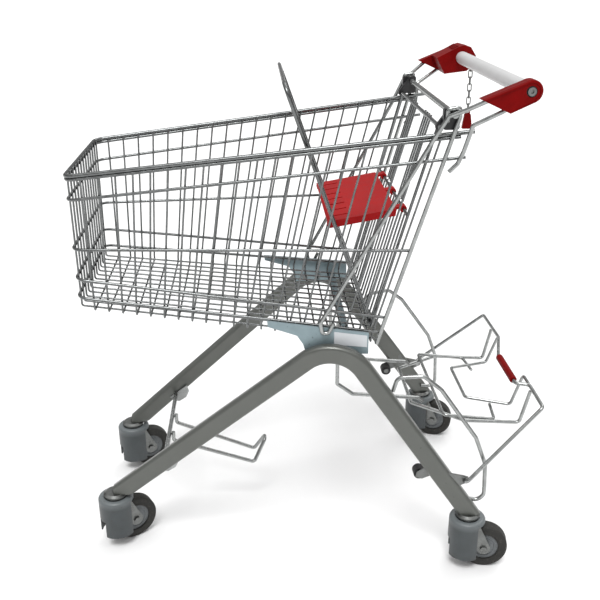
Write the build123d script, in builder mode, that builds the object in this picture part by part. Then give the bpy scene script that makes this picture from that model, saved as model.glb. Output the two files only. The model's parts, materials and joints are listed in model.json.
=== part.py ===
"""Shopping cart with a child seat, a folding crate rack and a coin-lock handle.

Frame: +Z up, origin on the floor under the middle of the cart. The front of the basket
points to -Y and the cart's left side is +X. All sizes are in millimetres.
"""
import math
import os

from build123d import *

# ---------------------------------------------------------------- driving dimensions
SIDES = {"left": 1, "right": -1}

WHEEL_DIAMETER = 100.0
WHEEL_WIDTH = 28.0
HUB_RADIUS = 31.0
AXLE_RADIUS = 4.5
CASTER_TRAIL = 37.0
COVER_RADIUS = 38.0
COVER_TOP = 118.0
COVER_BOTTOM = 28.0
FORK_HALF_GAP = 17.6
FORK_SHEET = 3.0
FRONT_CASTER_Y = -436.0
REAR_CASTER_Y = 321.0
CASTER_HEADINGS = {"front_left": 30.0, "front_right": 20.0, "rear_left": -10.0, "rear_right": -18.0}

LEG_DEPTH = 40.0
LEG_THICKNESS = 24.0
LEG_WALL = 2.0
LEG_FOOT_Z = 128.0
LEG_FRONT_Y = -438.0
LEG_FRONT_X = 152.0
LEG_SPREAD = 0.1553
FRONT_LEG_FOOT = (-440.0, 115.5)
LEG_CORNER = (46.5, 521.5)
REAR_LEG_FOOT = (330.5, 115.4)
CROWN_RADIUS = 80.0

PLATE_SHEET = 3.0
PLATE_GAP = 4.5
PLATE_MIDDLE = (200.0, 19.0)
PLATE_OUTLINE = [(-95, 548), (107, 523), (107, 477), (-18, 477), (-24, 498), (-36, 516), (-94, 535)]
PLATE_BOLTS = [(4, 488), (36, 488)]
PLATE_BOLT_REACH = {4: 1.5, 36: 4.3}
CROSS_TUBE = (70.0, 489.0)
CROSS_TUBE_DIAMETER = 16.0
CROSS_TUBE_HALF = 207.5

RIM_WIRE = 8.0
RAIL_WIRE = 6.0
MESH_WIRE = 4.0
FRAME_WIRE = 8.0
CROSS_ROD = 10.0
GUARD_WIRE = 8.5
TRAY_WIRE = 8.0
WELD_BITE = 0.5
TOUCH = 0.05
MESH_END_GAP = 0.7
RUNNING = 0.08

BASKET_FRONT = -468.0
FRONT_HALF_WIDTH = 172.0
WIDENING = 0.0716
TAPER = 0.03
RIM_FRONT_Z = 838.0
RIM_RISE = 0.1127
FLOOR_FRONT_Z = 568.0
FLOOR_FALL = 0.1252
CORNER_LINE_Y = -443.0
CORNER_BEND = 22.0
SIDE_WIRES = 21
SIDE_TOP_PITCH = 33.4
SIDE_BOTTOM_PITCH = 27.5
SIDE_TOP_START = -471.8
SIDE_BOTTOM_START = -464.2
FRONT_WIRES = 13
FLOOR_BEND = 10.0

UPRIGHT_TOP = (253.0, 940.0)
UPRIGHT_FOOT = (123.0, 497.0)
UPRIGHT_TOP_X = 233.0
UPRIGHT_FOOT_X = 209.6
HINGE_ROD = (246.0, 954.0)
HINGE_ROD_DIAMETER = 11.0
HINGE_ROD_HALF = 240.0

FLAP_TOP = (225.0, 929.0)
FLAP_SLOPE = 0.2723
FLAP_HALF_TOP = 198.0
FLAP_HALF_LOW = 180.0
FLAP_BOTTOM_Z = 525.0
SEAT_RAIL_Z = 756.0
SEAT_HALF = 151.0
SEAT_LENGTH = 152.0
SEAT_DROP = 10.0
SEAT_SLOT = (106.5, 143.6)
SEAT_SLOT_HALF = 2.6
BACKREST_TILT = 19.6
BACKREST_HALF = 170.0
BACKREST_EYE_X = 158.0
BACKREST_HEIGHT = 505.0
BACKREST_WIRES = (0.0, 40.0, -40.0, 80.0, -80.0, 120.0, -120.0)
SEAT_BARRELS = (-132.0, 0.0, 132.0)
SEAT_BARREL_HALF = 10.0
SEAT_KNOB = 16.0
MESH_BEHIND = (RAIL_WIRE + MESH_WIRE) / 2 - WELD_BITE
LOWER_WIRES = [26.4 * (i - 6.5) for i in range(14)]
UPPER_WIRES = [side * (46.0 + 18.0 * i) for side in (1, -1) for i in range(4)]

HANDLE_AXIS = (360.0, 1003.0)
HANDLE_DIAMETER = 28.0
HANDLE_HALF = 300.0
CAP_THICKNESS = 24.0
CAP_RADIUS = 20.0
CAP_BORDER = 5.0
CAP_RECESS = 1.5
TUBE_INSET = 8.0
HANDLE_WIRE_UPPER = [
    (288.0, 318.0, 999.0), (284.0, 288.0, 985.5), (262.0, 260.0, 967.5), (242.0, 234.0, 953.0),
    (228.3, 206.0, 900.0), (213.0, 10.0, 546.0), (213.0, 14.0, 524.0), (213.0, 26.0, 524.0),
    (213.0, 36.0, 545.0),
]
HANDLE_WIRE_LOWER = [
    (288.0, 345.0, 985.0), (284.0, 316.0, 967.0), (266.0, 272.0, 941.0), (243.0, 264.0, 890.0),
    (239.0, 256.0, 868.0), (239.0, 240.0, 852.0),
]
LOCK_BOX = [
    (303, 1003), (322, 968), (372, 974), (391, 988), (391, 1008), (379, 1026), (362, 1030), (350, 1026),
]
LOCK_BOX_END = -212.0
CHAIN_ANCHOR = (-222.0, 384.0, 972.0)
STAPLE_HALF = 7.0
LINK_PITCH = 15.0
LINK_WIRE = 2.6
LINK_RADIUS = 4.2
LINK_STRAIGHT = 4.8
LINKS = 6

RACK_PIVOT = (307.0, 208.0)
RACK_PIVOT_X = 284.0
RACK_BAR = (439.0, 361.0)
BUMPER = (241.0, 218.0, 211.0)
BOW_INSET = 18.5
BOW_BITE = 0.05


# ---------------------------------------------------------------- shared geometry
def rim_z(y):
    """Height of the rim wire's centre line."""
    return RIM_FRONT_Z + RIM_RISE * (y - BASKET_FRONT)


def floor_z(y):
    """Height of the basket floor's mesh."""
    return FLOOR_FRONT_Z - FLOOR_FALL * (y - BASKET_FRONT)


def half_width(y, z):
    """Half width of the basket at the centre of its outer horizontal wires."""
    return FRONT_HALF_WIDTH + WIDENING * (y - BASKET_FRONT) - TAPER * (rim_z(y) - z)


def upright_y(z):
    """Y of the rear upright's centre line."""
    run = (UPRIGHT_TOP[0] - UPRIGHT_FOOT[0]) / (UPRIGHT_TOP[1] - UPRIGHT_FOOT[1])
    return UPRIGHT_TOP[0] + run * (z - UPRIGHT_TOP[1])


def flap_y(z):
    """Y of the flap's plane."""
    return FLAP_TOP[0] + FLAP_SLOPE * (z - FLAP_TOP[1])


def leg_x(y):
    """Centre of a leg arch across the cart."""
    return LEG_FRONT_X + LEG_SPREAD * (y - LEG_FRONT_Y)


def on_side(points, side):
    """The same points on the left (1) or the right (-1) side."""
    return [(side * x, y, z) for x, y, z in points]


def there_and_back(points):
    """Points on the left followed by their mirror images, as one open run."""
    return points + [(-x, y, z) for x, y, z in reversed(points)]


def wire(points, diameter, bend=0.0, close=False):
    """A round wire along the points, with its corners bent to a radius."""
    with BuildLine(mode=Mode.PRIVATE) as path:
        if len(points) == 2:
            Line(*points)
        else:
            FilletPolyline(*points, radius=bend, close=close)
    start = Plane(origin=path.line @ 0, z_dir=path.line % 0)
    with BuildSketch(start, mode=Mode.PRIVATE) as section:
        Circle(diameter / 2)
    return sweep(section.sketch, path=path.line, mode=Mode.PRIVATE)


def bar_x(y, z, diameter, x_from, x_to):
    """A round bar that runs across the cart."""
    with BuildSketch(Plane.YZ.offset(x_from), mode=Mode.PRIVATE) as section:
        with Locations((y, z)):
            Circle(diameter / 2)
    return extrude(section.sketch, amount=x_to - x_from, mode=Mode.PRIVATE)


def outline_x(points, x_from, x_to):
    """A plate whose outline is drawn in Y and Z, between two places across the cart."""
    with BuildSketch(Plane.YZ.offset(x_from), mode=Mode.PRIVATE) as section:
        with BuildLine():
            Polyline(*points, close=True)
        make_face()
    return extrude(section.sketch, amount=x_to - x_from, mode=Mode.PRIVATE)


def finish(piece, name):
    """Labels a finished piece and writes its STEP file."""
    piece.part.label = name
    export_step(piece.part, f"parts/{name}.step")


# ---------------------------------------------------------------- legs and plates
def arch_plane(side):
    """Upright plane of one leg arch: x runs backward along the arch, y runs up."""
    along = Vector(side * LEG_SPREAD, 1, 0).normalized()
    return Plane(origin=(side * LEG_FRONT_X, LEG_FRONT_Y, 0), x_dir=along,
                 z_dir=along.cross(Vector(0, 0, 1)))


def arch_point(y, z):
    """A point of the arch's plane from its Y and Z in the cart."""
    return ((y - LEG_FRONT_Y) * math.hypot(1, LEG_SPREAD), z)


def arch_solid(side, depth, thickness, corner):
    """The bent leg arch as a solid bar of the given section, before its feet are cut."""
    with BuildLine(arch_plane(side), mode=Mode.PRIVATE) as path:
        FilletPolyline(arch_point(*FRONT_LEG_FOOT), arch_point(*LEG_CORNER),
                       arch_point(*REAR_LEG_FOOT), radius=CROWN_RADIUS)
    start = Plane(origin=path.line @ 0, z_dir=path.line % 0, x_dir=arch_plane(side).z_dir)
    with BuildSketch(start, mode=Mode.PRIVATE) as section:
        RectangleRounded(thickness, depth, corner)
    return sweep(section.sketch, path=path.line, mode=Mode.PRIVATE)


def both_arches():
    """Both arches as full bars, for trimming what is welded to them."""
    return [arch_solid(side, LEG_DEPTH, LEG_THICKNESS, 9.0) for side in SIDES.values()]


def foot_waste():
    """Everything below the cut feet and ahead of the front foot."""
    below = Box(800, 1200, 200, mode=Mode.PRIVATE).moved(Location((0, 0, LEG_FOOT_Z - 100)))
    ahead = Box(800, 100, 300, mode=Mode.PRIVATE).moved(Location((0, LEG_FRONT_Y - 50, 150)))
    return [below, ahead]


def build_leg_arch(name, side):
    """Oval tube bent into a front leg, a crown and a rear leg, open at its feet."""
    with BuildPart() as arch:
        add(arch_solid(side, LEG_DEPTH, LEG_THICKNESS, 9.0))
        add(arch_solid(side, LEG_DEPTH - 2 * LEG_WALL, LEG_THICKNESS - 2 * LEG_WALL, 7.0),
            mode=Mode.SUBTRACT)
        add(foot_waste(), mode=Mode.SUBTRACT)
    finish(arch, f"{name}_leg_arch")


def side_plane(side, gap):
    """Upright plane beside the lower basket wall; x runs backward, y runs up."""
    along = Vector(side * WIDENING, 1, 0).normalized()
    x, y = PLATE_MIDDLE
    return Plane(origin=(side * (x + gap), y, 0), x_dir=along,
                 z_dir=along.cross(Vector(0, 0, 1)))


def on_plate(points):
    """Points of a plate's plane from their Y and Z in the cart."""
    return [(y - PLATE_MIDDLE[1], z) for y, z in points]


def build_support_plate(name, side):
    """Sheet that ties the basket's lower corner to the crown of the arch."""
    with BuildPart() as plate:
        with BuildSketch(side_plane(side, PLATE_GAP)):
            with BuildLine():
                Polyline(*on_plate(PLATE_OUTLINE), close=True)
            make_face()
            with Locations(on_plate(PLATE_BOLTS)):
                Circle(4.2, mode=Mode.SUBTRACT)
        extrude(amount=side * PLATE_SHEET)
        add(both_arches(), mode=Mode.SUBTRACT)
    finish(plate, f"{name}_support_plate")


def build_plate_bolts():
    """Hexagon bolts with a spacer that hold each plate against its arch."""
    with BuildPart() as bolts:
        for side in SIDES.values():
            for place in PLATE_BOLTS:
                under_head = side_plane(side, PLATE_GAP - 0.1)
                with BuildSketch(under_head, mode=Mode.PRIVATE) as head:
                    with Locations(on_plate([place])):
                        RegularPolygon(6.5, 6)
                add(extrude(head.sketch, amount=-side * 5.0, mode=Mode.PRIVATE))
                with BuildSketch(under_head, mode=Mode.PRIVATE) as shank:
                    with Locations(on_plate([place])):
                        Circle(4.0)
                length = PLATE_SHEET + PLATE_BOLT_REACH[place[0]]
                add(extrude(shank.sketch, amount=side * length, mode=Mode.PRIVATE))
    finish(bolts, "support_plate_bolts")


def build_blank_label():
    """Blank sticker on the left plate."""
    with BuildPart() as label:
        with BuildSketch(side_plane(1, PLATE_GAP + PLATE_SHEET + TOUCH)):
            with BuildLine():
                Polyline(*on_plate([(38, 525), (104, 517), (104, 492), (38, 497)]), close=True)
            make_face()
        extrude(amount=0.4)
    finish(label, "blank_label")


def build_cross_tube():
    """Round tube under the basket that joins the two plates."""
    with BuildPart() as tube:
        add(bar_x(*CROSS_TUBE, CROSS_TUBE_DIAMETER, -CROSS_TUBE_HALF, CROSS_TUBE_HALF))
        add(bar_x(*CROSS_TUBE, CROSS_TUBE_DIAMETER - 4.0, -CROSS_TUBE_HALF, CROSS_TUBE_HALF),
            mode=Mode.SUBTRACT)
    finish(tube, "crown_cross_tube")


# ---------------------------------------------------------------- basket
def lower_rails():
    """Height function, rear end and diameter of each of the five rails below the rim."""
    return [
        (lambda y: rim_z(y) - (RIM_WIRE + RAIL_WIRE) / 2 - 0.15, 262.0, RAIL_WIRE),
        (lambda y: rim_z(y) - 46.0, 273.0, RAIL_WIRE),
        (lambda y: 693.5, 186.0, RAIL_WIRE),
        (lambda y: 632.0 - 0.132 * (y - BASKET_FRONT), 144.0, RAIL_WIRE),
        (lambda y: 593.0 - 0.123 * (y - BASKET_FRONT), 126.0, RAIL_WIRE),
    ]


def side_rail(height, y_end, diameter):
    """One straight side rail, from the front corner's end to its rear end."""
    ends = [(half_width(y, height(y)), y, height(y)) for y in (CORNER_LINE_Y, y_end)]
    return ends, diameter


def side_vertical(index, side):
    """One upright mesh wire of a side wall."""
    y_top = SIDE_TOP_START + SIDE_TOP_PITCH * (index + 1)
    y_low = SIDE_BOTTOM_START + SIDE_BOTTOM_PITCH * (index + 1)
    z_low = floor_z(y_low) + FLOOR_BEND
    inset = (RAIL_WIRE + MESH_WIRE) / 2 - WELD_BITE
    top = (half_width(y_top, rim_z(y_top)) - inset, y_top, rim_z(y_top) + 1.0)
    low = (half_width(y_low, z_low) - inset, y_low, z_low)
    return on_side([low, top], side)


def build_basket_side(name, side):
    """Side wall: rim, five rails and the upright mesh wires, welded together."""
    runs = [side_rail(rim_z, 286.0, RIM_WIRE)]
    runs += [side_rail(*rail) for rail in lower_rails()]
    with BuildPart() as panel:
        wires = [wire(on_side(ends, side), diameter) for ends, diameter in runs]
        wires += [wire(side_vertical(i, side), MESH_WIRE) for i in range(SIDE_WIRES)]
        add(wires)
    finish(panel, f"basket_{name}_wall")


def front_rail(height, diameter):
    """A rail that wraps round both front corners."""
    y_bend = BASKET_FRONT
    z_bend = height(y_bend)
    side_end = (half_width(CORNER_LINE_Y, height(CORNER_LINE_Y)), CORNER_LINE_Y, height(CORNER_LINE_Y))
    corner = (half_width(y_bend, z_bend), y_bend, z_bend)
    return wire(there_and_back([side_end, corner]), diameter, CORNER_BEND)


def front_vertical(x):
    """An upright mesh wire of the front wall."""
    inset = (RAIL_WIRE + MESH_WIRE) / 2 - WELD_BITE
    y = BASKET_FRONT + inset
    low = (x * 0.955, y, floor_z(y) + FLOOR_BEND)
    return wire([low, (x, y, rim_z(y) + 1.0)], MESH_WIRE)


def front_wire_places():
    """Places of the front wall's upright wires across the cart."""
    pitch = 2 * (FRONT_HALF_WIDTH - 14.0) / (FRONT_WIRES - 1)
    return [pitch * (i - (FRONT_WIRES - 1) / 2) for i in range(FRONT_WIRES)]


def build_basket_front():
    """Front wall with the rails' corner bends."""
    with BuildPart() as panel:
        wires = [front_rail(rim_z, RIM_WIRE)]
        wires += [front_rail(height, diameter) for height, _, diameter in lower_rails()]
        wires += [front_vertical(x) for x in front_wire_places()]
        add(wires)
    finish(panel, "basket_front_wall")


def build_basket_floor():
    """Floor mesh: lengthwise wires over cross wires, both turned up at their ends."""
    inset = (RAIL_WIRE + MESH_WIRE) / 2 - WELD_BITE
    rear = SIDE_BOTTOM_START + SIDE_BOTTOM_PITCH * SIDE_WIRES
    front = BASKET_FRONT + inset
    over = MESH_WIRE - WELD_BITE
    with BuildPart() as panel:
        wires = []
        for x in front_wire_places():
            up = (x * 0.955, front, floor_z(front) + FLOOR_BEND - MESH_END_GAP)
            bend = (x * 0.955, front, floor_z(front) + over)
            end = (x * 1.16, rear + 12.0, floor_z(rear + 12.0) + over)
            wires.append(wire([up, bend, end], MESH_WIRE, 5.0))
        for i in range(SIDE_WIRES):
            y = SIDE_BOTTOM_START + SIDE_BOTTOM_PITCH * (i + 1)
            x = half_width(y, floor_z(y) + FLOOR_BEND) - inset
            z = floor_z(y)
            ends = [(x, y, z + FLOOR_BEND - MESH_END_GAP), (x, y, z)]
            wires.append(wire(there_and_back(ends), MESH_WIRE, 5.0))
        add(wires)
    finish(panel, "basket_floor")


def build_upright(name, side):
    """Rear upright: foot below the basket, straight post, hook over the hinge rod."""
    y_rod, z_rod = HINGE_ROD
    reach = (HINGE_ROD_DIAMETER + FRAME_WIRE) / 2 + TOUCH
    x_top = UPRIGHT_TOP_X
    post = [
        (UPRIGHT_FOOT_X, *UPRIGHT_FOOT),
        (x_top, upright_y(z_rod - 4), z_rod - 4),
        (x_top, y_rod + 8.7, z_rod + reach + 3.8),
        (x_top, y_rod - reach - 2.5, z_rod + reach + 0.6),
        (x_top, y_rod - reach - 2.5, z_rod - 12.0),
    ]
    with BuildPart() as upright:
        add(wire(on_side(post, side), FRAME_WIRE, 4.5))
    finish(upright, f"{name}_rear_upright")


# ---------------------------------------------------------------- handle
def build_handle_wires(name, side):
    """The two bent wires that carry one end of the handle."""
    with BuildPart() as wires:
        add(wire(on_side(HANDLE_WIRE_UPPER, side), FRAME_WIRE, 5.5))
        add(wire(on_side(HANDLE_WIRE_LOWER, side), FRAME_WIRE, 7.0))
    finish(wires, f"{name}_handle_wires")


def build_hinge_rod():
    """Thick rod between the handle wires, the axis of the flap."""
    with BuildPart() as rod:
        add(bar_x(*HINGE_ROD, HINGE_ROD_DIAMETER, -HINGE_ROD_HALF, HINGE_ROD_HALF))
    finish(rod, "hinge_rod")


def build_rod_blocks():
    """Black plastic blocks on the rod, outside the flap's bushes."""
    y, z = HINGE_ROD
    with BuildPart() as blocks:
        for side in SIDES.values():
            x_from = min(side * 213.5, side * 225.5)
            with BuildSketch(Plane.YZ.offset(x_from), mode=Mode.PRIVATE) as section:
                with Locations((y - 3.0, z - 9.0)):
                    RectangleRounded(30.0, 38.0, 5.0)
                with Locations((y, z)):
                    Circle(HINGE_ROD_DIAMETER / 2 + TOUCH, mode=Mode.SUBTRACT)
            add(extrude(section.sketch, amount=12.0, mode=Mode.PRIVATE))
    finish(blocks, "rod_blocks")


def build_handle_tube():
    """Push handle: a round tube open at both ends."""
    y, z = HANDLE_AXIS
    half = HANDLE_HALF - TUBE_INSET
    with BuildPart() as tube:
        add(bar_x(y, z, HANDLE_DIAMETER, -half, half))
        add(bar_x(y, z, HANDLE_DIAMETER - 4.0, -half, half), mode=Mode.SUBTRACT)
    finish(tube, "handle_tube")


def cap_outline():
    """Side view of an end cap: a slanted mouth and a round end about the handle."""
    y, z = HANDLE_AXIS
    with BuildSketch(Plane.YZ, mode=Mode.PRIVATE) as face:
        with BuildLine():
            Polyline((275, 990), (327, 966), (y + 9.0, z - CAP_RADIUS + 2.0),
                     (y - 4.0, z + CAP_RADIUS - 0.5), close=True)
        make_face()
        with Locations((y, z)):
            Circle(CAP_RADIUS)
    return face.sketch


def wire_passages(side):
    """Room for the handle wires inside a cap."""
    upper = wire(on_side(HANDLE_WIRE_UPPER[:3], side), FRAME_WIRE + 2 * TOUCH, 5.5)
    lower = wire(on_side(HANDLE_WIRE_LOWER[:3], side), FRAME_WIRE + 2 * TOUCH, 7.0)
    return [upper, lower]


def cap_body(side):
    """A cap without its passages, from its inner face to the end of the handle."""
    face = cap_outline().moved(Location((side * (HANDLE_HALF - CAP_THICKNESS), 0, 0)))
    return extrude(face, amount=side * CAP_THICKNESS, mode=Mode.PRIVATE)


def cap_recess(side):
    """Shallow recess that leaves a raised border along a cap's top and round end."""
    y, z = HANDLE_AXIS
    outer = HANDLE_HALF * side
    with BuildSketch(Plane.YZ.offset(outer), mode=Mode.PRIVATE) as face:
        with BuildLine():
            Polyline((258.3, 978.0), (y - 2.1, z + 14.9), (y + 8.2, z - 16.2), (308.0, 959.6), close=True)
        make_face()
        with Locations((y, z)):
            Circle(CAP_RADIUS - CAP_BORDER)
    return extrude(face.sketch, amount=-side * CAP_RECESS, mode=Mode.PRIVATE)


def cut_passages(side):
    """Cuts the tube's seat, the wires' passages and the screw's recess into a cap."""
    y, z = HANDLE_AXIS
    add(cap_recess(side), mode=Mode.SUBTRACT)
    tube_from = side * (HANDLE_HALF - CAP_THICKNESS - 70)
    tube_to = side * (HANDLE_HALF - TUBE_INSET)
    low, high = sorted((tube_from, tube_to))
    add(bar_x(y, z, HANDLE_DIAMETER + 2 * TOUCH, low, high), mode=Mode.SUBTRACT)
    low, high = sorted((side * (HANDLE_HALF - 4.0), side * (HANDLE_HALF + 4.0)))
    add(bar_x(y, z, 19.0, low, high), mode=Mode.SUBTRACT)
    low, high = sorted((side * (HANDLE_HALF - 20.0), side * (HANDLE_HALF + 4.0)))
    add(bar_x(y, z, 8.2, low, high), mode=Mode.SUBTRACT)
    add(wire_passages(side), mode=Mode.SUBTRACT)


def build_left_cap():
    """Red end cap on the left end of the handle."""
    with BuildPart() as cap:
        add(cap_body(1))
        fillet(cap.faces().sort_by(Axis.X)[-1].edges(), 3.5)
        cut_passages(1)
    finish(cap, "left_handle_cap")


def build_coin_lock():
    """Red housing on the right end: an end cap joined to the coin lock's box."""
    with BuildPart() as housing:
        add(cap_body(-1))
        fillet(housing.faces().sort_by(Axis.X)[0].edges(), 3.5)
        add(outline_x(LOCK_BOX, -HANDLE_HALF + CAP_THICKNESS - 0.5, LOCK_BOX_END))
        cut_passages(-1)
        rib_places = [-268.0 + 11.0 * i for i in range(5)]
        for x in rib_places:
            with Locations(Location((x, 345.0, 1024.5), (28, 0, 0))):
                Box(4.0, 16.0, 1.6)
        add(chain_staple(LINK_WIRE + 2 * TOUCH), mode=Mode.SUBTRACT)
    finish(housing, "coin_lock_housing")


def chain_staple(diameter):
    """U-shaped staple under the lock that the chain hangs from."""
    x, y, z = CHAIN_ANCHOR
    legs = [(x + side * STAPLE_HALF, y, z + level) for side, level in ((-1, 14), (-1, 0), (1, 0), (1, 14))]
    return wire(legs, diameter, 3.0)


def build_handle_fasteners():
    """Socket screws through the caps into the handle's ends, and the chain's staple."""
    y, z = HANDLE_AXIS
    with BuildPart() as screws:
        add(chain_staple(LINK_WIRE))
        for side in SIDES.values():
            low, high = sorted((side * (HANDLE_HALF - 3.9), side * (HANDLE_HALF + 0.5)))
            with BuildSketch(Plane.YZ.offset(low), mode=Mode.PRIVATE) as head:
                with Locations((y, z)):
                    Circle(7.5)
            add(extrude(head.sketch, amount=high - low, mode=Mode.PRIVATE))
            low, high = sorted((side * (HANDLE_HALF - 30.0), side * (HANDLE_HALF - 3.9)))
            add(bar_x(y, z, 8.0, low, high))
            low, high = sorted((side * (HANDLE_HALF - 2.2), side * (HANDLE_HALF + 2.0)))
            with BuildSketch(Plane.YZ.offset(low), mode=Mode.PRIVATE) as socket:
                with Locations((y, z)):
                    RegularPolygon(3.4, 6)
            add(extrude(socket.sketch, amount=high - low, mode=Mode.PRIVATE), mode=Mode.SUBTRACT)
    finish(screws, "handle_fasteners")


def link_middle(index):
    """Height of a chain link's middle below the staple."""
    inner_end = LINK_STRAIGHT + LINK_RADIUS - LINK_WIRE / 2
    return CHAIN_ANCHOR[2] + LINK_WIRE / 2 + 0.3 - inner_end - LINK_PITCH * index


def chain_link(middle, across):
    """One oval link in the upright plane that holds the given direction."""
    r, straight = LINK_RADIUS, LINK_STRAIGHT
    plane = Plane(origin=middle, x_dir=across, z_dir=Vector(*across).cross(Vector(0, 0, 1)))
    with BuildLine(plane, mode=Mode.PRIVATE) as path:
        Line((r, -straight), (r, straight))
        RadiusArc((r, straight), (-r, straight), -r)
        Line((-r, straight), (-r, -straight))
        RadiusArc((-r, -straight), (r, -straight), -r)
    start = Plane(origin=path.line @ 0, z_dir=path.line % 0)
    with BuildSketch(start, mode=Mode.PRIVATE) as section:
        Circle(LINK_WIRE / 2)
    return sweep(section.sketch, path=path.line, mode=Mode.PRIVATE)


def build_chain():
    """Coin-lock chain, every second link turned by a quarter turn."""
    x, y, _ = CHAIN_ANCHOR
    with BuildPart() as chain:
        for i in range(LINKS):
            across = (1, 0, 0) if i % 2 else (0, 1, 0)
            add(chain_link((x, y, link_middle(i)), across))
    finish(chain, "lock_chain")


def build_key_plug():
    """Wedge-shaped plug with a thin neck that the last link passes through."""
    x, y, _ = CHAIN_ANCHOR
    link_end = link_middle(LINKS - 1) - LINK_STRAIGHT - LINK_RADIUS
    wedge = [(y - 7, link_end - 6), (y + 7, link_end - 6), (y + 12, link_end - 40), (y - 12, link_end - 40)]
    with BuildPart() as plug:
        add(outline_x(wedge, x - 4.0, x + 4.0))
        fillet(plug.edges().filter_by(Axis.X), 2.0)
        with Locations((x, y, link_end - 1.5)):
            Box(4.0, 11.0, 13.0)
        with Locations((x, y, link_end - 0.7)):
            Box(12.0, 5.2, 5.2, mode=Mode.SUBTRACT)
    finish(plug, "lock_key_plug")


# ---------------------------------------------------------------- flap, seat and backrest
def flap_direction():
    """Unit steps up along the flap and forward out of it, as (Y, Z) pairs."""
    size = math.hypot(FLAP_SLOPE, 1)
    return (FLAP_SLOPE / size, 1 / size), (-1 / size, FLAP_SLOPE / size)


def on_flap(z, behind=0.0):
    """A point of the flap at a height, moved backward out of its plane."""
    _, forward = flap_direction()
    return flap_y(z) - behind * forward[0], z - behind * forward[1]


def flap_half(z):
    """Distance of the flap's side wires from the middle at a height."""
    share = (z - FLAP_BOTTOM_Z) / (FLAP_TOP[1] - FLAP_BOTTOM_Z)
    return FLAP_HALF_LOW + (FLAP_HALF_TOP - FLAP_HALF_LOW) * share


def build_flap_top_rod():
    """Upper rod of the flap, held by the bushes."""
    with BuildPart() as rod:
        add(bar_x(*FLAP_TOP, FRAME_WIRE, -212.4, 212.4))
    finish(rod, "flap_top_rod")


def build_flap_bushes():
    """Black plastic bushes that turn on the hinge rod and hold the flap's top rod."""
    with BuildPart() as bushes:
        for side in SIDES.values():
            x_from = min(side * 203.5, side * 212.4)
            with BuildSketch(Plane.YZ.offset(x_from), mode=Mode.PRIVATE) as section:
                with Locations(HINGE_ROD):
                    Circle(10.0)
                with Locations(FLAP_TOP):
                    Circle(7.5)
                with BuildLine():
                    Polyline((237.7, 959.6), (254.3, 948.4), (231.2, 924.8), (218.8, 933.2), close=True)
                make_face()
                with Locations(HINGE_ROD):
                    Circle(HINGE_ROD_DIAMETER / 2 + RUNNING, mode=Mode.SUBTRACT)
                with Locations(FLAP_TOP):
                    Circle(FRAME_WIRE / 2 + TOUCH, mode=Mode.SUBTRACT)
            add(extrude(section.sketch, amount=8.9, mode=Mode.PRIVATE))
    finish(bushes, "flap_bushes")


def build_flap_wires():
    """Side wires of the flap and the two groups of wires between its leg openings."""
    up, _ = flap_direction()
    drop = FRAME_WIRE / 2 + 0.3
    side_top = (FLAP_TOP[0] - drop * up[0], FLAP_TOP[1] - drop * up[1])
    side_low = on_flap(FLAP_BOTTOM_Z - 3.0)
    low = on_flap(SEAT_RAIL_Z + 4.6, MESH_BEHIND)
    top = on_flap(FLAP_TOP[1] + 4.0, (FRAME_WIRE + MESH_WIRE) / 2 + TOUCH)
    with BuildPart() as wires:
        for side in SIDES.values():
            ends = [(side * flap_half(point[1]), *point) for point in (side_low, side_top)]
            add(wire(ends, RAIL_WIRE))
        for x in UPPER_WIRES:
            add(wire([(x, *low), (x, *top)], MESH_WIRE))
    finish(wires, "flap_upper_wires")


def build_flap_grille():
    """Lower half of the flap: seat rail, bottom rail and upright wires between them."""
    with BuildPart() as grille:
        wires = []
        for z in (FLAP_BOTTOM_Z, SEAT_RAIL_Z):
            half = flap_half(z) - RAIL_WIRE / 2 - 0.2
            wires.append(bar_x(*on_flap(z), RAIL_WIRE, -half, half))
        low = on_flap(FLAP_BOTTOM_Z - 2.0, MESH_BEHIND)
        top = on_flap(SEAT_RAIL_Z + 2.0, MESH_BEHIND)
        wires += [wire([(x, *low), (x, *top)], MESH_WIRE) for x in LOWER_WIRES]
        add(wires)
    finish(grille, "flap_lower_grille")


def seat_point(along, above):
    """A point of the seat's side view: along it from its hinge, and above that line."""
    angle = math.radians(SEAT_DROP)
    y, z = on_flap(SEAT_RAIL_Z)
    return (y - along * math.cos(angle) - above * math.sin(angle),
            z - along * math.sin(angle) + above * math.cos(angle))


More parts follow.
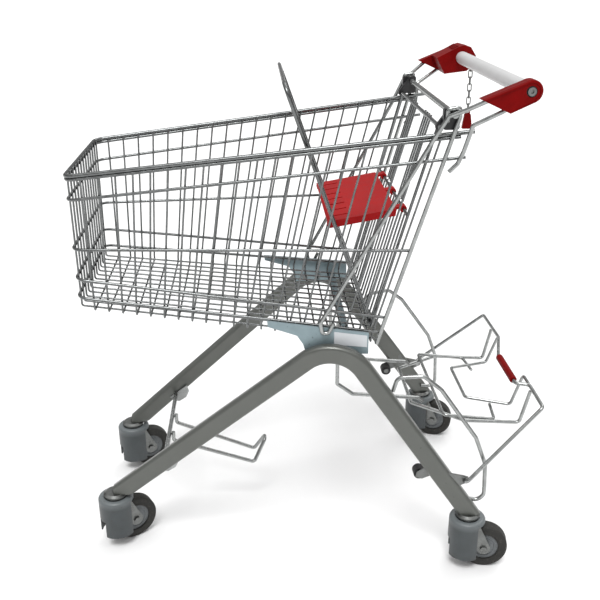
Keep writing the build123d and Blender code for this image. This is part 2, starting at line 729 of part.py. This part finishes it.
def build_seat():
    """Red seat plate with side rims, hinge barrels and slots for the backrest's wires."""
    plate = [seat_point(*p) for p in ((15, 1), (SEAT_LENGTH, 1), (SEAT_LENGTH, 6), (15, 6))]
    tongue = [seat_point(*p) for p in ((3, 1.5), (16, 1.5), (16, 6), (3, 6))]
    rim = [seat_point(*p) for p in ((18, -8), (SEAT_LENGTH - 4, -8), (SEAT_LENGTH, 3), (15, 3))]
    slot = [seat_point(*p) for p in ((SEAT_SLOT[0], -2), (SEAT_SLOT[1], -2),
                                     (SEAT_SLOT[1], 12), (SEAT_SLOT[0], 12))]
    axis = on_flap(SEAT_RAIL_Z)
    with BuildPart() as seat:
        add(outline_x(plate, -SEAT_HALF, SEAT_HALF))
        for side in SIDES.values():
            low, high = sorted((side * (SEAT_HALF - 5.0), side * SEAT_HALF))
            add(outline_x(rim, low, high))
            low, high = sorted((side * (SEAT_HALF - SEAT_KNOB), side * SEAT_HALF))
            add(bar_x(*seat_point(SEAT_LENGTH - 6.0, -1.0), 14.0, low, high))
        for x in SEAT_BARRELS:
            add(bar_x(*axis, 14.0, x - SEAT_BARREL_HALF, x + SEAT_BARREL_HALF))
            add(outline_x(tongue, x - SEAT_BARREL_HALF, x + SEAT_BARREL_HALF))
        for x in BACKREST_WIRES:
            add(outline_x(slot, x - SEAT_SLOT_HALF, x + SEAT_SLOT_HALF), mode=Mode.SUBTRACT)
        for x in SEAT_BARRELS:
            add(bar_x(*axis, RAIL_WIRE + 2 * RUNNING, x - 20.0, x + 20.0), mode=Mode.SUBTRACT)
    finish(seat, "seat_plate")


def backrest_point(along):
    """A point of the backrest's side view at a distance from its hinge."""
    angle = math.radians(BACKREST_TILT)
    y, z = on_flap(FLAP_BOTTOM_Z)
    return y - along * math.sin(angle), z + along * math.cos(angle)


def build_backrest():
    """Backrest grille: bent outer wire, cross wires, upright wires and hinge eyes."""
    axis = on_flap(FLAP_BOTTOM_Z)
    outer = [(BACKREST_HALF, *backrest_point(12.0)), (BACKREST_HALF, *backrest_point(BACKREST_HEIGHT))]
    cross_places = (16.0, 130.0, 415.0)
    with BuildPart() as backrest:
        wires = [wire(there_and_back(outer), FRAME_WIRE, 25.0)]
        for along in cross_places:
            wires.append(bar_x(*backrest_point(along), 5.0, -BACKREST_HALF, BACKREST_HALF))
        for x in BACKREST_WIRES:
            low = backrest_point(16.0)
            top = backrest_point(BACKREST_HEIGHT)
            wires.append(wire([(x, *low), (x, *top)], MESH_WIRE))
        for side in SIDES.values():
            x = side * BACKREST_EYE_X
            wires.append(bar_x(*axis, 12.0, x - 5.0, x + 5.0))
            wires.append(wire([(x, *backrest_point(4.0)), (x, *backrest_point(18.0))], RAIL_WIRE))
        add(wires)
        for side in SIDES.values():
            x = side * BACKREST_EYE_X
            add(bar_x(*axis, RAIL_WIRE + 2 * RUNNING, x - 20.0, x + 20.0), mode=Mode.SUBTRACT)
    finish(backrest, "backrest_grille")


# ---------------------------------------------------------------- lower wires and racks
def build_leg_cross_rod():
    """Rod between the front legs with its two tabs."""
    y, z = -323.0, 201.0
    tab = [(-340, 190), (-296, 222), (-291, 206), (-299, 189), (-316, 178.5), (-328, 180)]
    with BuildPart() as rod:
        add(bar_x(y, z, CROSS_ROD, -160.0, 160.0))
        for side in SIDES.values():
            low, high = sorted((side * 154.0, side * 158.0))
            add(outline_x(tab, low, high))
        add(both_arches(), mode=Mode.SUBTRACT)
    finish(rod, "leg_cross_rod")


def build_bottle_hook():
    """Hairpin carrier that hangs forward of the cross rod and turns up at its tip."""
    y_behind = -323.0 + (CROSS_ROD + GUARD_WIRE) / 2 + TOUCH
    run = [(40.0, y_behind, 206.0), (40.0, y_behind, 184.0), (30.0, -130.0, 112.0), (9.0, -104.0, 160.0)]
    with BuildPart() as hook:
        add(wire(there_and_back(run), GUARD_WIRE, 7.5))
    finish(hook, "bottle_hook")


def build_side_bows():
    """Bent guard wires behind the rear legs."""
    with BuildPart() as bows:
        for side in SIDES.values():
            run = [(157.0, 398.0), (166.0, 428.0), (218.0, 434.0), (254.0, 405.0), (330.0, 297.0),
                   (353.0, 235.0), (356.0, 160.0), (344.0, 146.0), (318.0, 150.0)]
            points = [(leg_x(y) - BOW_INSET, y, z) for y, z in run]
            for i in (0, -1):
                y, z = run[i]
                points[i] = (leg_x(y) - (LEG_THICKNESS + GUARD_WIRE) / 2 + BOW_BITE, y, z)
            add(wire(on_side(points, side), GUARD_WIRE, 16.0))
        add(both_arches(), mode=Mode.SUBTRACT)
    finish(bows, "side_bows")


def build_crate_hangers():
    """Two wires that hang from the cross tube and carry the front of a crate."""
    y, z = CROSS_TUBE
    y_drop = y - (CROSS_TUBE_DIAMETER + GUARD_WIRE) / 2 - TOUCH
    run = [(90.0, y_drop, z + 5.0), (90.0, y_drop, 345.0), (90.0, 92.0, 319.0),
           (90.0, 240.0, 304.3), (90.0, 250.0, 295.0)]
    with BuildPart() as hangers:
        for side in SIDES.values():
            add(wire(on_side(run, side), GUARD_WIRE, 4.5))
    finish(hangers, "crate_hangers")


def build_bumper_brackets():
    """Sheet brackets on the rear legs with a pin for each rubber bumper."""
    x, y, z = BUMPER
    outline = [(y - 9, z - 6), (y + 5, z - 10), (y + 52, z + 8), (y + 40, z + 36), (y - 7, z + 7)]
    with BuildPart() as brackets:
        for side in SIDES.values():
            low, high = sorted((side * (x + 6.0), side * (x + 10.0)))
            add(outline_x(outline, low, high))
            low, high = sorted((side * (x - 14.0), side * (x + 6.0)))
            add(bar_x(y, z, 6.0, low, high))
            low, high = sorted((side * (x - 18.0), side * (x - 14.0)))
            add(bar_x(y, z, 12.0, low, high))
        add(both_arches(), mode=Mode.SUBTRACT)
    finish(brackets, "bumper_brackets")


def build_bumpers():
    """Rubber bumper rings on the brackets' pins."""
    x, y, z = BUMPER
    with BuildPart() as bumpers:
        for side in SIDES.values():
            low, high = sorted((side * (x - 13.9), side * (x + 5.9)))
            with BuildSketch(Plane.YZ.offset(low), mode=Mode.PRIVATE) as ring:
                with Locations((y, z)):
                    Circle(12.5)
                    Circle(3.0 + TOUCH, mode=Mode.SUBTRACT)
            add(extrude(ring.sketch, amount=high - low, mode=Mode.PRIVATE))
    finish(bumpers, "leg_bumpers")


def build_rack_lugs():
    """Lugs behind the rear legs that carry the crate rack's pivots."""
    y, z = RACK_PIVOT
    outline = [(y - 28, z - 22), (y - 2, z - 10), (y + 9, z - 5), (y + 9, z + 6), (y - 2, z + 10),
               (y - 42, z + 20)]
    with BuildPart() as lugs:
        for side in SIDES.values():
            low, high = sorted((side * 268.0, side * 272.0))
            add(outline_x(outline, low, high))
            add(bar_x(y, z, FRAME_WIRE + 0.14, low - 9.0, high + 9.0), mode=Mode.SUBTRACT)
        add(both_arches(), mode=Mode.SUBTRACT)
    finish(lugs, "rack_lugs")


def build_rack_frame():
    """Crate rack frame: pivot ends, arms and the rear bar with its cranked grip run."""
    y, z = RACK_PIVOT
    left = [(262.0, y, z), (RACK_PIVOT_X, y, z), (240.0, 468.0, 357.0), (150.0, 467.0, 361.0),
            (140.0, *RACK_BAR), (5.0, *RACK_BAR)]
    right = [(-95.0, 467.0, 361.0), (-240.0, 468.0, 357.0), (-RACK_PIVOT_X, y, z), (-262.0, y, z)]
    with BuildPart() as frame:
        add(wire(left + right, FRAME_WIRE, 9.0))
    finish(frame, "rack_frame")


def build_rack_tray():
    """The crate rack's tray: an outer, an inner and a front wire."""
    outer = [(160.0, 467.0, 351.5), (158.0, 450.0, 274.0), (158.0, 330.0, 283.0), (85.0, 225.0, 290.0)]
    inner_low = [(105.0, 444.0, 289.0), (73.0, 350.0, 293.0)]
    inner = [(143.0, 467.0, 361.0), (105.0, 467.0, 361.0)] + there_and_back(inner_low)
    inner.append((-105.0, 467.0, 353.5))
    front = [(85.0, 404.0, 279.5), (150.5, 397.0, 279.5), (150.5, 284.0, 294.0)]
    with BuildPart() as tray:
        add(wire(there_and_back(outer), TRAY_WIRE, 9.0))
        add(wire(inner, TRAY_WIRE - 1.0, 9.0))
        add(wire(there_and_back(front), TRAY_WIRE - 1.0, 9.0))
    finish(tray, "rack_tray_wires")


def build_rack_grip():
    """Red sleeve on the crank of the rack's rear bar."""
    with BuildPart() as grip:
        add(bar_x(*RACK_BAR, 16.0, 12.0, 126.0))
        fillet(grip.edges(), 3.0)
        add(bar_x(*RACK_BAR, FRAME_WIRE + 2 * TOUCH, 0.0, 140.0), mode=Mode.SUBTRACT)
    finish(grip, "rack_grip")


# ---------------------------------------------------------------- casters
def caster_places():
    """Place of each caster's swivel axis and the heading it is turned to."""
    places = {}
    for end, y in (("front", FRONT_CASTER_Y), ("rear", REAR_CASTER_Y)):
        for name, side in SIDES.items():
            corner = f"{end}_{name}"
            places[corner] = Location((side * leg_x(y), y, 0), (0, 0, CASTER_HEADINGS[corner]))
    return places


def finish_caster(piece, name, place):
    """Turns a caster's piece to its heading, puts it in place and writes its STEP file."""
    placed = piece.part.moved(place)
    placed.label = name
    export_step(placed, f"parts/{name}.step")


def build_caster_studs():
    """Zinc bearing cups with their studs up into the feet and their kingpins below."""
    with BuildPart() as studs:
        with BuildSketch(Plane.XZ, mode=Mode.PRIVATE) as half:
            with BuildLine():
                Polyline((0, 104.6), (6, 104.6), (6, 115.3), (20, 115.3), (25.5, 120), (25.5, 124.5),
                         (20, 127.9), (6, 127.9), (6, 133), (0, 133), close=True)
            make_face()
        cup = revolve(half.sketch, axis=Axis.Z, mode=Mode.PRIVATE)
        for place in caster_places().values():
            add(cup.moved(place))
    finish(studs, "caster_studs")


def fork_cheek(x_from):
    """One fork cheek: wide at the top, round about the axle."""
    y, z = CASTER_TRAIL, WHEEL_DIAMETER / 2
    with BuildSketch(Plane.YZ.offset(x_from), mode=Mode.PRIVATE) as cheek:
        with BuildLine():
            Polyline((-4, 110), (24, 110), (y + 13.5, z + 5), (y - 13.5, z - 5), close=True)
        make_face()
        with Locations((y, z)):
            Circle(14.0)
            Circle(AXLE_RADIUS + TOUCH, mode=Mode.SUBTRACT)
    return extrude(cheek.sketch, amount=FORK_SHEET, mode=Mode.PRIVATE)


def build_fork(name, place):
    """Pressed steel fork under the bearing cup."""
    with BuildPart() as fork:
        with BuildSketch(Plane((0, 0, 109.0))):
            Circle(24.5)
            Circle(6.06, mode=Mode.SUBTRACT)
        extrude(amount=6.0)
        add([fork_cheek(FORK_HALF_GAP), fork_cheek(-FORK_HALF_GAP - FORK_SHEET)])
    finish_caster(fork, f"{name}_fork", place)


def build_cover(name, place):
    """Plastic cover over the fork: round at the front, open behind and notched below."""
    inner = COVER_RADIUS - 3.0
    below = COVER_BOTTOM - 5.0
    with BuildPart() as cover:
        with BuildSketch(Plane((0, 0, COVER_BOTTOM))):
            Circle(COVER_RADIUS)
        extrude(amount=COVER_TOP - COVER_BOTTOM)
        fillet(cover.faces().sort_by(Axis.Z)[-1].edges(), 7.0)
        with BuildSketch(Plane((0, 0, COVER_BOTTOM))):
            Circle(inner)
        extrude(amount=COVER_TOP - COVER_BOTTOM - 3.0, mode=Mode.SUBTRACT)
        with BuildSketch(Plane((0, 0, COVER_TOP - 10))):
            Circle(26.0)
        extrude(amount=20.0, mode=Mode.SUBTRACT)
        with BuildSketch(Plane((0, 46.0, below))):
            Rectangle(90.0, 48.0)
        extrude(amount=COVER_TOP - 10.0 - below, mode=Mode.SUBTRACT)
        with BuildSketch(Plane((0, -30.0, below))):
            Rectangle(32.0, 40.0)
        extrude(amount=43.0, mode=Mode.SUBTRACT)
    finish_caster(cover, f"{name}_cover", place)


def build_axle(name, place):
    """Axle bolt with a hexagon head and a nut outside the fork's cheeks."""
    outer = FORK_HALF_GAP + FORK_SHEET + TOUCH
    middle = (CASTER_TRAIL, WHEEL_DIAMETER / 2)
    with BuildPart() as axle:
        add(bar_x(*middle, 2 * AXLE_RADIUS, -outer - 1, outer + 1))
        for x_from in (-outer - 4.5, outer):
            with BuildSketch(Plane.YZ.offset(x_from), mode=Mode.PRIVATE) as nut:
                with Locations(middle):
                    RegularPolygon(7.5, 6)
            add(extrude(nut.sketch, amount=4.5, mode=Mode.PRIVATE))
    finish_caster(axle, f"{name}_axle", place)


def build_wheel(name, place):
    """Rubber tyre on a plastic hub that turns on the axle."""
    middle = (CASTER_TRAIL, WHEEL_DIAMETER / 2)
    half = WHEEL_WIDTH / 2
    hub_half = FORK_HALF_GAP - 0.4
    with BuildPart() as hub:
        add(bar_x(*middle, 2 * HUB_RADIUS - 0.2, -half + 3, half - 3))
        add(bar_x(*middle, 24.0, -hub_half, hub_half))
        add(bar_x(*middle, 2 * AXLE_RADIUS + 0.12, -30, 30), mode=Mode.SUBTRACT)
    finish_caster(hub, f"{name}_hub", place)
    with BuildPart() as tyre:
        add(bar_x(*middle, WHEEL_DIAMETER, -half, half))
        fillet(tyre.edges(), 5.0)
        add(bar_x(*middle, 2 * HUB_RADIUS, -30, 30), mode=Mode.SUBTRACT)
    finish_caster(tyre, f"{name}_tyre", place)


def main():
    """Builds and writes every piece."""
    os.makedirs("parts", exist_ok=True)
    for name, side in SIDES.items():
        build_leg_arch(name, side)
        build_support_plate(name, side)
        build_basket_side(name, side)
        build_upright(name, side)
        build_handle_wires(name, side)
    for build in (build_plate_bolts, build_blank_label, build_cross_tube, build_basket_front,
                  build_basket_floor, build_hinge_rod, build_rod_blocks, build_handle_tube,
                  build_left_cap, build_coin_lock, build_handle_fasteners, build_chain, build_key_plug,
                  build_flap_top_rod, build_flap_bushes, build_flap_wires, build_flap_grille,
                  build_seat, build_backrest, build_leg_cross_rod,
                  build_bottle_hook, build_side_bows, build_crate_hangers, build_bumper_brackets,
                  build_bumpers, build_rack_lugs, build_rack_frame, build_rack_tray,
                  build_rack_grip, build_caster_studs):
        build()
    for name, place in caster_places().items():
        build_fork(name, place)
        build_cover(name, place)
        build_axle(name, place)
        build_wheel(name, place)


main()
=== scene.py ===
"""Looks of the shopping cart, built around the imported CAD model.

Everything is in metres in the cart's own frame: +Z up, the basket's front points to -Y and the
cart's left side is +X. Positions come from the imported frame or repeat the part's dimensions.
"""
import json
import math

import bpy
from mathutils import Matrix, Vector


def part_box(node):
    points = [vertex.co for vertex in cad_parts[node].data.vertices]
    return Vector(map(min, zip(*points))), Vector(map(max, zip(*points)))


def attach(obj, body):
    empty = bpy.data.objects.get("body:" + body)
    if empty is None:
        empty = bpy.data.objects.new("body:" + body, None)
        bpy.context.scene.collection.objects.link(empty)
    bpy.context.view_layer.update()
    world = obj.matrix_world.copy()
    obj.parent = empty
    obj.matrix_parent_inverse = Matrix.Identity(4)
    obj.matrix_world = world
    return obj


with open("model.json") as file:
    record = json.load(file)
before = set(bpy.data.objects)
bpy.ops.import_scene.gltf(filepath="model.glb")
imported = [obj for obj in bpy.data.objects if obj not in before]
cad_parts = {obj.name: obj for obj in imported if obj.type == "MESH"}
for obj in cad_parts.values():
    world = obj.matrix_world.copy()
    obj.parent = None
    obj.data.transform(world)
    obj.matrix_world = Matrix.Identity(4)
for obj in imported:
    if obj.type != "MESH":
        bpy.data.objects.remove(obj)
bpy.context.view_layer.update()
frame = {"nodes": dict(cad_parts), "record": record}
NODES = frame["nodes"]

CAMERA_PLACE = Vector((1.7227, -0.1096, 1.2176))
CAMERA_YAW = math.radians(3.013)
CAMERA_PITCH = math.radians(22.319)
CAMERA_ROLL = math.radians(-0.202)
CAMERA_LENS = 50.36
CORNERS = ("front_left", "front_right", "rear_left", "rear_right")
SENSOR_WIDTH = 36.0

TYRE_HALF_WIDTH = 0.014
BEAD_RADIUS, BEAD_WIRE, BEAD_SINK = 0.0335, 0.0013, 0.0004
HUB_RING_RADIUS, HUB_RING_WIRE, HUB_RING_SINK = 0.0235, 0.0014, 0.0031
SEAT_REACH, SEAT_RADIUS, SEAT_WIRE = 0.2968, 0.0086, 0.0011

WORLD_STOPS = ((0.0, 0.85), (0.42, 0.8), (0.5, 0.75), (0.56, 0.3), (0.72, 0.55), (0.9, 1.25), (1.0, 1.3))
WORLD_STRENGTH = 0.85


# ---------------------------------------------------------------- materials
def node(tree, kind, **values):
    """A shader node with the given input values; underscores stand for spaces."""
    made = tree.nodes.new(kind)
    for name, value in values.items():
        made.inputs[name.replace("_", " ")].default_value = value
    return made


def shade(color, factor):
    """A colour made lighter or darker."""
    return tuple(min(1.0, c * factor) for c in color[:3]) + (1.0,)


def blend_colour(tree, amount, base, color):
    """A colour socket that goes from base to another colour by the amount."""
    mix = tree.nodes.new("ShaderNodeMix")
    mix.data_type = "RGBA"
    factor, first, second = mix.inputs[0], mix.inputs[6], mix.inputs[7]
    second.default_value = shade(color, 1.0)
    tree.links.new(amount, factor)
    tree.links.new(base, first)
    return mix.outputs[2]


def specks(tree, place, base, color, scale, threshold):
    """Small specks of another colour, where a fine noise is above the threshold."""
    noise = node(tree, "ShaderNodeTexNoise", Scale=scale, Detail=8.0, Roughness=0.7)
    tree.links.new(place, noise.inputs["Vector"])
    amount = node(tree, "ShaderNodeMapRange", From_Min=threshold, From_Max=threshold + 0.07)
    tree.links.new(noise.outputs["Fac"], amount.inputs["Value"])
    return blend_colour(tree, amount.outputs["Result"], base, color)


def paint_highlight_above(tree, place, base, color, low, high):
    """Painted highlight: another colour painted above a height, none below low and all of it above high.
    """
    split = tree.nodes.new("ShaderNodeSeparateXYZ")
    tree.links.new(place, split.inputs["Vector"])
    amount = node(tree, "ShaderNodeMapRange", From_Min=low, From_Max=high)
    tree.links.new(split.outputs["Z"], amount.inputs["Value"])
    return blend_colour(tree, amount.outputs["Result"], base, color)


def surface(name, color, metallic=0.0, roughness=0.5, spread=0.1, mottle=0.12, scale=30.0,
            grain=0.0, grain_scale=900.0, coat=0.0, specular=0.5, dirt=None, above=None):
    """A procedural finish: mottled colour, uneven roughness, fine grain, dirt specks and a painted
    highlight above a height.
    """
    material = bpy.data.materials.new(name)
    material.use_nodes = True
    tree = material.node_tree
    shader = tree.nodes["Principled BSDF"]
    shader.inputs["Metallic"].default_value = metallic
    shader.inputs["Coat Weight"].default_value = coat
    shader.inputs["Specular IOR Level"].default_value = specular
    place = tree.nodes.new("ShaderNodeTexCoord").outputs["Object"]
    noise = node(tree, "ShaderNodeTexNoise", Scale=scale, Detail=6.0, Roughness=0.6)
    tree.links.new(place, noise.inputs["Vector"])
    tint = tree.nodes.new("ShaderNodeValToRGB")
    tint.color_ramp.elements[0].position = 0.3
    tint.color_ramp.elements[1].position = 0.7
    tint.color_ramp.elements[0].color = shade(color, 1.0 - mottle)
    tint.color_ramp.elements[1].color = shade(color, 1.0 + mottle)
    tree.links.new(noise.outputs["Fac"], tint.inputs["Fac"])
    look = tint.outputs["Color"]
    # Painted highlight: the above setting paints a lighter colour on the part above a height.
    if above:
        look = paint_highlight_above(tree, place, look, *above)
    if dirt:
        look = specks(tree, place, look, *dirt)
    tree.links.new(look, shader.inputs["Base Color"])
    uneven = tree.nodes.new("ShaderNodeMapRange")
    uneven.inputs["To Min"].default_value = max(0.02, roughness - spread)
    uneven.inputs["To Max"].default_value = min(1.0, roughness + spread)
    tree.links.new(noise.outputs["Fac"], uneven.inputs["Value"])
    tree.links.new(uneven.outputs["Result"], shader.inputs["Roughness"])
    if grain:
        fine = node(tree, "ShaderNodeTexNoise", Scale=grain_scale, Detail=3.0)
        tree.links.new(place, fine.inputs["Vector"])
        bump = node(tree, "ShaderNodeBump", Strength=grain, Distance=0.0005)
        tree.links.new(fine.outputs["Fac"], bump.inputs["Height"])
        tree.links.new(bump.outputs["Normal"], shader.inputs["Normal"])
    return material


GRIME = (0.035, 0.03, 0.024)
DULL_ZINC = (0.09, 0.088, 0.08)
MATERIALS = {
    "zinc_wire": surface("zinc_wire", (0.165, 0.171, 0.171), 1.0, 0.26, 0.1, 0.22, 45.0,
                         dirt=(DULL_ZINC, 160.0, 0.6)),
    "zinc_bar": surface("zinc_bar", (0.34, 0.35, 0.345), 1.0, 0.26, 0.1, 0.2, 45.0,
                        dirt=(DULL_ZINC, 160.0, 0.64)),
    "zinc_steel": surface("zinc_steel", (0.18, 0.185, 0.18), 1.0, 0.3, 0.12, 0.2, 60.0,
                          dirt=(DULL_ZINC, 220.0, 0.6)),
    "leg_paint": surface("leg_paint", (0.115, 0.12, 0.11), 0.5, 0.36, 0.06, 0.06, 14.0,
                         0.05, 2500.0, 0.25, dirt=(GRIME, 120.0, 0.66)),
    "plate_paint": surface("plate_paint", (0.24, 0.31, 0.335), 0.4, 0.4, 0.08, 0.1, 40.0,
                           0.05, 2500.0, dirt=(GRIME, 140.0, 0.64)),
    "handle_grey": surface("handle_grey", (0.56, 0.56, 0.56), 0.0, 0.38, 0.06, 0.03, 30.0),
    "red_plastic": surface("red_plastic", (0.165, 0.001, 0.001), 0.0, 0.45, 0.06, 0.12, 40.0,
                           0.12, 1400.0, specular=0.07),
    "seat_red": surface("seat_red", (0.33, 0.004, 0.005), 0.0, 0.45, 0.08, 0.12, 28.0,
                        0.16, 1400.0, specular=0.15),
    "black_plastic": surface("black_plastic", (0.012, 0.012, 0.013), 0.0, 0.4, 0.08, 0.2, 60.0),
    # Covers: painted highlight, a lighter grey painted on the top shoulder from 0.1 m up, full from 0.118
    # m.
    "cover_grey": surface("cover_grey", (0.047, 0.055, 0.058), 0.0, 0.42, 0.08, 0.12, 30.0,
                          0.2, 1200.0, dirt=(GRIME, 130.0, 0.62), above=((0.13, 0.145, 0.15), 0.1, 0.118)),
    "hub_grey": surface("hub_grey", (0.12, 0.13, 0.135), 0.0, 0.45, 0.08, 0.15, 60.0,
                        0.1, 1500.0, dirt=(GRIME, 200.0, 0.58)),
    "tyre_rubber": surface("tyre_rubber", (0.017, 0.0165, 0.014), 0.0, 0.72, 0.1, 0.35, 90.0,
                           0.3, 1500.0, dirt=((0.06, 0.052, 0.045), 170.0, 0.58)),
    "bumper_rubber": surface("bumper_rubber", (0.016, 0.016, 0.017), 0.0, 0.62, 0.1, 0.3, 90.0),
    "label_white": surface("label_white", (0.6, 0.62, 0.64), 0.0, 0.35, 0.05, 0.03, 40.0),
}


def dress_cad_nodes():
    """Gives every CAD node the finish of its material slot."""
    for entry in frame["record"]["subparts"]:
        mesh = NODES[entry["node"]].data
        mesh.materials.clear()
        mesh.materials.append(MATERIALS[entry["material_slot"]])


# ---------------------------------------------------------------- small details
def add_ring(name, centre, axis, radius, wire_radius, slot_name, body):
    """A thin ring round an axis."""
    turn = Vector(axis).to_track_quat("Z", "Y").to_euler()
    bpy.ops.mesh.primitive_torus_add(major_radius=radius, minor_radius=wire_radius,
                                     major_segments=64, minor_segments=10, location=centre,
                                     rotation=turn)
    ring = bpy.context.object
    ring.name = name
    bpy.ops.object.shade_smooth()
    ring.data.materials.append(MATERIALS[slot_name])
    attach(ring, body)


def add_wheel_rings():
    """Moulded ridges on both faces of each wheel: one at the tyre's bead, one on the hub."""
    joints = {joint["name"]: joint for joint in frame["record"]["behaviour"]["joints"]}
    for corner in CORNERS:
        spin = joints[f"{corner}_wheel_spin"]
        middle, axis = Vector(spin["pos_m"]), Vector(spin["axis"]).normalized()
        for side in (1, -1):
            name = f"{corner}_bead_{'outer' if side > 0 else 'inner'}"
            bead = middle + axis * side * (TYRE_HALF_WIDTH - BEAD_SINK)
            add_ring(name, bead, axis, BEAD_RADIUS, BEAD_WIRE, "tyre_rubber", f"{corner}_wheel")
            inset = middle + axis * side * (TYRE_HALF_WIDTH - HUB_RING_SINK)
            add_ring(f"{name}_hub", inset, axis, HUB_RING_RADIUS, HUB_RING_WIRE, "hub_grey",
                     f"{corner}_wheel")


def add_screw_seats():
    """Dark seats round the screws in the handle's ends."""
    tube_low, tube_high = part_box("handle_tube")
    y, z = (tube_low.y + tube_high.y) / 2, (tube_low.z + tube_high.z) / 2
    for name, side in (("left", 1), ("right", -1)):
        add_ring(f"{name}_screw_seat", Vector((side * SEAT_REACH, y, z)), (1.0, 0.0, 0.0),
                 SEAT_RADIUS, SEAT_WIRE, "black_plastic", "cart_frame")


# ---------------------------------------------------------------- studio
def build_floor():
    """Wide pale floor; low views also show the studio surroundings above its far edge."""
    bpy.ops.mesh.primitive_circle_add(vertices=64, radius=60.0, fill_type="NGON")
    floor = bpy.context.object
    floor.name = "studio_floor"
    material = bpy.data.materials.new("studio_floor")
    material.use_nodes = True
    shader = material.node_tree.nodes["Principled BSDF"]
    shader.inputs["Base Color"].default_value = (0.86, 0.86, 0.86, 1.0)
    shader.inputs["Roughness"].default_value = 0.9
    floor.data.materials.append(material)


def add_sun(name, direction, strength, angle):
    """A soft distant lamp that shines along a direction."""
    lamp = bpy.data.lights.new(name, "SUN")
    lamp.energy = strength
    lamp.angle = math.radians(angle)
    holder = bpy.data.objects.new(name, lamp)
    holder.rotation_euler = Vector(direction).to_track_quat("-Z", "Y").to_euler()
    bpy.context.scene.collection.objects.link(holder)


def build_world():
    """Studio surroundings: bright above and darker towards the horizon."""
    world = bpy.data.worlds.new("studio")
    world.use_nodes = True
    bpy.context.scene.world = world
    tree = world.node_tree
    place = tree.nodes.new("ShaderNodeTexCoord")
    split = tree.nodes.new("ShaderNodeSeparateXYZ")
    ramp = tree.nodes.new("ShaderNodeValToRGB")
    elements = ramp.color_ramp.elements
    elements[0].position = WORLD_STOPS[0][0]
    elements[1].position = WORLD_STOPS[-1][0]
    for position, _ in WORLD_STOPS[1:-1]:
        elements.new(position)
    for element, (_, level) in zip(elements, WORLD_STOPS):
        element.color = (level, level, level, 1.0)
    span = tree.nodes.new("ShaderNodeMapRange")
    span.inputs["From Min"].default_value = -1.0
    tree.links.new(place.outputs["Generated"], split.inputs["Vector"])
    tree.links.new(split.outputs["Z"], span.inputs["Value"])
    tree.links.new(span.outputs["Result"], ramp.inputs["Fac"])
    tree.links.new(ramp.outputs["Color"], tree.nodes["Background"].inputs["Color"])
    tree.nodes["Background"].inputs["Strength"].default_value = WORLD_STRENGTH


def build_camera():
    """Camera at the left side of the cart, looking down at it."""
    forward = Vector((-math.cos(CAMERA_YAW) * math.cos(CAMERA_PITCH),
                      math.sin(CAMERA_YAW) * math.cos(CAMERA_PITCH), -math.sin(CAMERA_PITCH)))
    right = forward.cross(Vector((0, 0, 1))).normalized()
    up = right.cross(forward)
    turn = Matrix.Rotation(-CAMERA_ROLL, 3, forward)
    right, up = turn @ right, turn @ up
    lens = bpy.data.cameras.new("camera")
    lens.lens = CAMERA_LENS
    lens.sensor_width = SENSOR_WIDTH
    lens.clip_start = 0.05
    lens.clip_end = 200.0
    camera = bpy.data.objects.new("camera", lens)
    facing = Matrix((right, up, -forward)).transposed().to_4x4()
    camera.matrix_world = Matrix.Translation(CAMERA_PLACE) @ facing
    bpy.context.scene.collection.objects.link(camera)
    bpy.context.scene.camera = camera


dress_cad_nodes()
add_wheel_rings()
add_screw_seats()
build_floor()
build_world()
add_sun("key", (-0.55, 0.1, -1.0), 1.9, 22.0)
add_sun("fill", (0.6, -0.5, -0.9), 0.7, 40.0)
build_camera()
bpy.context.scene.view_settings.view_transform = "Standard"
